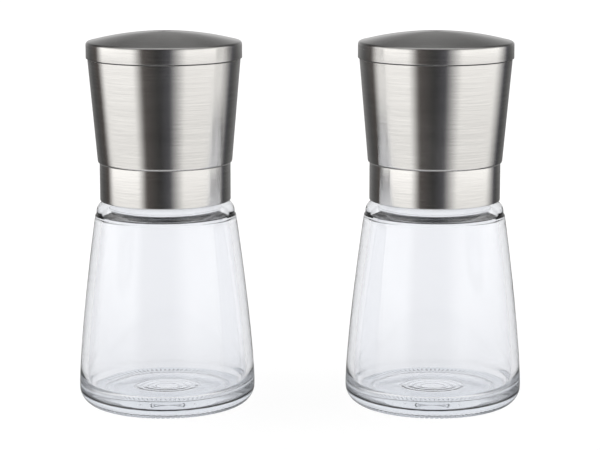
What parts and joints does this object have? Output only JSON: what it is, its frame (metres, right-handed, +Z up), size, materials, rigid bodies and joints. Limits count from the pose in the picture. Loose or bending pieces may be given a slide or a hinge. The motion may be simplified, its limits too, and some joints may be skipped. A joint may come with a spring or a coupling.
{
  "type": "salt and pepper mill set",
  "caption": "Matching salt and pepper mills with glass jars, turning steel heads over ceramic burrs, adjustable grind and lift-off lids.",
  "frame": {"origin": "on the table, midway between the two mills", "axes": "+Z up along the mills' axes, +X from the salt mill to the pepper mill"},
  "size_m": [0.164, 0.065, 0.1381],
  "materials": {
    "clear_glass": "clear polished",
    "brushed_steel": "fine circular brushing",
    "black_plastic": "fine moulded grain",
    "nylon": "satin",
    "spring_steel": "drawn, bright",
    "ceramic": "fired, unglazed",
    "silicone": "translucent matt"
  },
  "bodies": {
    "salt_jar": {"salt_jar": "clear_glass"},
    "salt_seal": {"salt_jar_seal": "silicone"},
    "salt_collar": {"salt_collar_sleeve": "brushed_steel", "salt_collar_core": "black_plastic", "salt_slip_washer": "nylon", "salt_retaining_ring": "spring_steel", "salt_spindle": "spring_steel", "salt_spring": "spring_steel"},
    "salt_burr": {"salt_inner_burr": "ceramic", "salt_spring_washer": "spring_steel"},
    "salt_knob": {"salt_adjuster_knob": "black_plastic"},
    "salt_head": {"salt_head_sleeve": "brushed_steel", "salt_head_core": "black_plastic", "salt_burr_housing": "black_plastic", "salt_outer_burr": "ceramic", "salt_burr_retainer": "black_plastic"},
    "salt_lid": {"salt_lid_cap": "brushed_steel", "salt_lid_liner": "black_plastic", "salt_lid_seal": "silicone"},
    "pepper_jar": {"pepper_jar": "clear_glass"},
    "pepper_seal": {"pepper_jar_seal": "silicone"},
    "pepper_collar": {"pepper_collar_sleeve": "brushed_steel", "pepper_collar_core": "black_plastic", "pepper_slip_washer": "nylon", "pepper_retaining_ring": "spring_steel", "pepper_spindle": "spring_steel", "pepper_spring": "spring_steel"},
    "pepper_burr": {"pepper_inner_burr": "ceramic", "pepper_spring_washer": "spring_steel"},
    "pepper_knob": {"pepper_adjuster_knob": "black_plastic"},
    "pepper_head": {"pepper_head_sleeve": "brushed_steel", "pepper_head_core": "black_plastic", "pepper_burr_housing": "black_plastic", "pepper_outer_burr": "ceramic", "pepper_burr_retainer": "black_plastic"},
    "pepper_lid": {"pepper_lid_cap": "brushed_steel", "pepper_lid_liner": "black_plastic", "pepper_lid_seal": "silicone"}
  },
  "joints": [
    {"name": "salt_collar_lift", "type": "slide", "parent": "salt_jar", "child": "salt_seal", "axis": [0, 0, 1], "range_m": [0, 0.012]},
    {"name": "salt_collar_turn", "type": "hinge", "parent": "salt_seal", "child": "salt_collar", "pos_m": [-0.0495, 0, 0.0829], "axis": [0, 0, 1], "range_deg": [0, 1080]},
    {"name": "salt_head_turn", "type": "hinge", "parent": "salt_collar", "child": "salt_head", "pos_m": [-0.0495, 0, 0.0911], "axis": [0, 0, 1], "continuous": true},
    {"name": "salt_lid_lift", "type": "slide", "parent": "salt_head", "child": "salt_lid", "axis": [0, 0, 1], "range_m": [0, 0.04]},
    {"name": "salt_burr_slide", "type": "slide", "parent": "salt_collar", "child": "salt_burr", "axis": [0, 0, 1], "range_m": [0, 0.0015], "deforming": ["salt_spring"]},
    {"name": "salt_knob_turn", "type": "hinge", "parent": "salt_burr", "child": "salt_knob", "pos_m": [-0.0495, 0, 0.12005], "axis": [0, 0, 1], "range_deg": [0, 540]},
    {"name": "pepper_collar_lift", "type": "slide", "parent": "pepper_jar", "child": "pepper_seal", "axis": [0, 0, 1], "range_m": [0, 0.012]},
    {"name": "pepper_collar_turn", "type": "hinge", "parent": "pepper_seal", "child": "pepper_collar", "pos_m": [0.0495, 0, 0.0829], "axis": [0, 0, 1], "range_deg": [0, 1080]},
    {"name": "pepper_head_turn", "type": "hinge", "parent": "pepper_collar", "child": "pepper_head", "pos_m": [0.0495, 0, 0.0911], "axis": [0, 0, 1], "continuous": true},
    {"name": "pepper_lid_lift", "type": "slide", "parent": "pepper_head", "child": "pepper_lid", "axis": [0, 0, 1], "range_m": [0, 0.04]},
    {"name": "pepper_burr_slide", "type": "slide", "parent": "pepper_collar", "child": "pepper_burr", "axis": [0, 0, 1], "range_m": [0, 0.0015], "deforming": ["pepper_spring"]},
    {"name": "pepper_knob_turn", "type": "hinge", "parent": "pepper_burr", "child": "pepper_knob", "pos_m": [0.0495, 0, 0.12005], "axis": [0, 0, 1], "range_deg": [0, 540]},
    {"name": "pepper_mill_lift", "type": "slide", "parent": "salt_jar", "child": "pepper_jar", "axis": [0, 0, 1], "range_m": [0, 0.15]}
  ],
  "couplings": [
    {"joint": "salt_collar_lift", "follows": "salt_collar_turn", "m_per_rad": 0.00063662},
    {"joint": "salt_knob_turn", "follows": "salt_burr_slide", "rad_per_m": 6283.2},
    {"joint": "pepper_collar_lift", "follows": "pepper_collar_turn", "m_per_rad": 0.00063662},
    {"joint": "pepper_knob_turn", "follows": "pepper_burr_slide", "rad_per_m": 6283.2}
  ]
}
